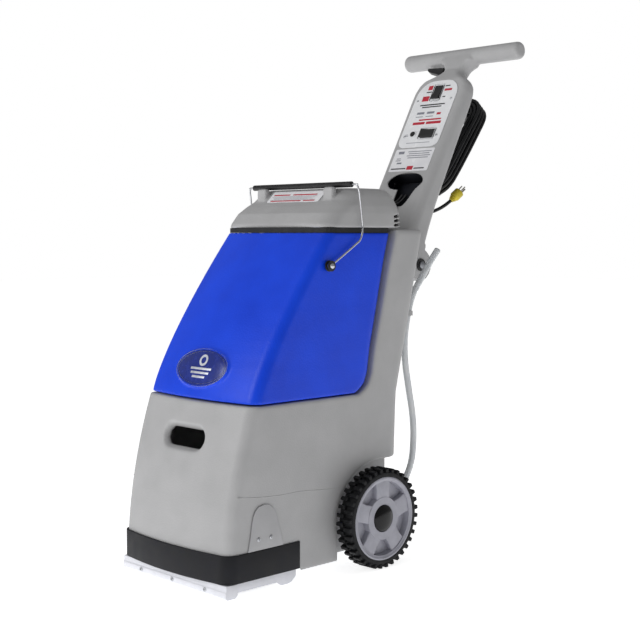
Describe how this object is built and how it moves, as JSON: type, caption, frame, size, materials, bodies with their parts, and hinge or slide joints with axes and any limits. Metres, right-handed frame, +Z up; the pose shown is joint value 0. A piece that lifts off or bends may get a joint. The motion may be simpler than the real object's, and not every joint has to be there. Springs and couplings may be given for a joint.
{
  "type": "carpet cleaner machine",
  "caption": "Walk-behind carpet cleaner with a driven brush, suction shoe, lift-off recovery tank, vacuum dome, two wheels and a folding T-handle.",
  "frame": {"origin": "on the floor, under the middle of the machine's box without the power cord and the drain hose", "axes": "front is -Y, width is X, up is +Z; the handle leans towards +Y"},
  "size_m": [0.428, 0.9371, 1.108],
  "materials": {
    "grey_shell": "satin",
    "black_plastic": "satin",
    "blue_tank": "satin",
    "white_plastic": "satin",
    "steel": "brushed",
    "aluminium": "painted",
    "rim_grey": "satin",
    "tyre": "matt",
    "rubber": "matt",
    "brass": "satin",
    "clear_hose": "satin",
    "poly_tank": "satin",
    "motor_case": "satin",
    "bristle": "satin",
    "cord": "satin",
    "plug_yellow": "satin"
  },
  "bodies": {
    "base": {"base_shell": "grey_shell", "chassis_pan": "steel", "bumper": "rubber", "side_cover_left": "grey_shell", "side_cover_right": "grey_shell", "side_cover_screws": "steel", "vacuum_shoe": "aluminium", "shoe_screws": "steel", "brush_housing": "aluminium", "brush_bearings": "steel", "brush_motor": "motor_case", "drive_belt": "rubber", "spray_bar": "brass", "spray_tips": "brass", "solution_pump": "motor_case", "solution_hose": "clear_hose", "solution_tank": "poly_tank", "filler_cap": "black_plastic", "vacuum_duct": "black_plastic", "axle": "steel", "axle_brackets": "steel", "drain_outlet": "black_plastic", "drain_hose": "clear_hose", "hose_clip": "grey_shell", "pivot_bolt": "steel", "pivot_knobs": "black_plastic", "wiring_loom": "cord", "loom_grommet": "black_plastic"},
    "wheel_left": {"tyre_left": "tyre", "rim_left": "rim_grey", "hub_cap_left": "black_plastic"},
    "wheel_right": {"tyre_right": "tyre", "rim_right": "rim_grey", "hub_cap_right": "black_plastic"},
    "brush": {"brush_core": "black_plastic", "brush_bristles": "bristle"},
    "motor_shaft": {"motor_pulley": "steel"},
    "tank": {"recovery_tank": "blue_tank", "emblem_plate": "steel", "tank_gasket": "rubber", "dome_shell": "grey_shell", "dome_label": "white_plastic", "vacuum_motor": "motor_case", "float_cage": "black_plastic", "bail_screws": "black_plastic"},
    "float": {"float_ball": "white_plastic"},
    "impeller": {"vacuum_impeller": "aluminium"},
    "bail": {"bail_wire": "steel", "bail_grip": "black_plastic"},
    "handle": {"handle_column": "grey_shell", "control_panel": "white_plastic", "instruction_label": "white_plastic", "cord_hooks": "black_plastic", "power_cord_hank": "cord", "power_cord_lead": "cord", "power_plug": "plug_yellow"},
    "rocker_upper": {"rocker_upper": "black_plastic"},
    "rocker_lower": {"rocker_lower": "black_plastic"},
    "reset_button": {"reset_button": "black_plastic"},
    "spray_trigger": {"spray_trigger": "black_plastic"}
  },
  "joints": [
    {"name": "wheel_left_spin", "type": "hinge", "parent": "base", "child": "wheel_left", "pos_m": [-0.19, -0.07555, 0.1016], "axis": [1, 0, 0], "continuous": true},
    {"name": "wheel_right_spin", "type": "hinge", "parent": "base", "child": "wheel_right", "pos_m": [0.19, -0.07555, 0.1016], "axis": [1, 0, 0], "continuous": true},
    {"name": "brush_spin", "type": "hinge", "parent": "base", "child": "brush", "pos_m": [0, -0.36755, 0.042], "axis": [1, 0, 0], "continuous": true},
    {"name": "motor_spin", "type": "hinge", "parent": "base", "child": "motor_shaft", "pos_m": [0.147, -0.26855, 0.12], "axis": [1, 0, 0], "continuous": true},
    {"name": "tank_lift", "type": "slide", "parent": "base", "child": "tank", "axis": [0, 0, 1], "range_m": [0, 0.4]},
    {"name": "float_rise", "type": "slide", "parent": "tank", "child": "float", "axis": [0, 0, 1], "range_m": [0, 0.028]},
    {"name": "impeller_spin", "type": "hinge", "parent": "tank", "child": "impeller", "pos_m": [0, -0.05355, 0.7], "axis": [0, 0, 1], "continuous": true},
    {"name": "bail_swing", "type": "hinge", "parent": "tank", "child": "bail", "pos_m": [0, -0.18555, 0.611], "axis": [1, 0, 0], "range_deg": [0, 145]},
    {"name": "handle_fold", "type": "hinge", "parent": "base", "child": "handle", "pos_m": [0, 0.17245, 0.606], "axis": [-1, 0, 0], "range_deg": [0, 120], "deforming": ["wiring_loom"]},
    {"name": "upper_switch", "type": "hinge", "parent": "handle", "child": "rocker_upper", "pos_m": [0.001, 0.32402, 0.99833], "axis": [1, 0, 0], "range_deg": [0, 14]},
    {"name": "lower_switch", "type": "hinge", "parent": "handle", "child": "rocker_lower", "pos_m": [0.018, 0.2687, 0.90095], "axis": [0, -0.4939, -0.8695], "range_deg": [0, 14]},
    {"name": "reset_press", "type": "slide", "parent": "handle", "child": "reset_button", "axis": [0, 0.8695, -0.4939], "range_m": [0, 0.003], "stiffness_N_per_m": 300},
    {"name": "trigger_pull", "type": "hinge", "parent": "handle", "child": "spray_trigger", "pos_m": [-0.042, 0.39824, 1.05853], "axis": [0, 0.8695, -0.4939], "range_deg": [0, 5], "stiffness_Nm_per_rad": 0.5, "springref_deg": -5.73}
  ],
  "couplings": [
    {"joint": "motor_spin", "follows": "brush_spin", "ratio": 1.6667}
  ]
}
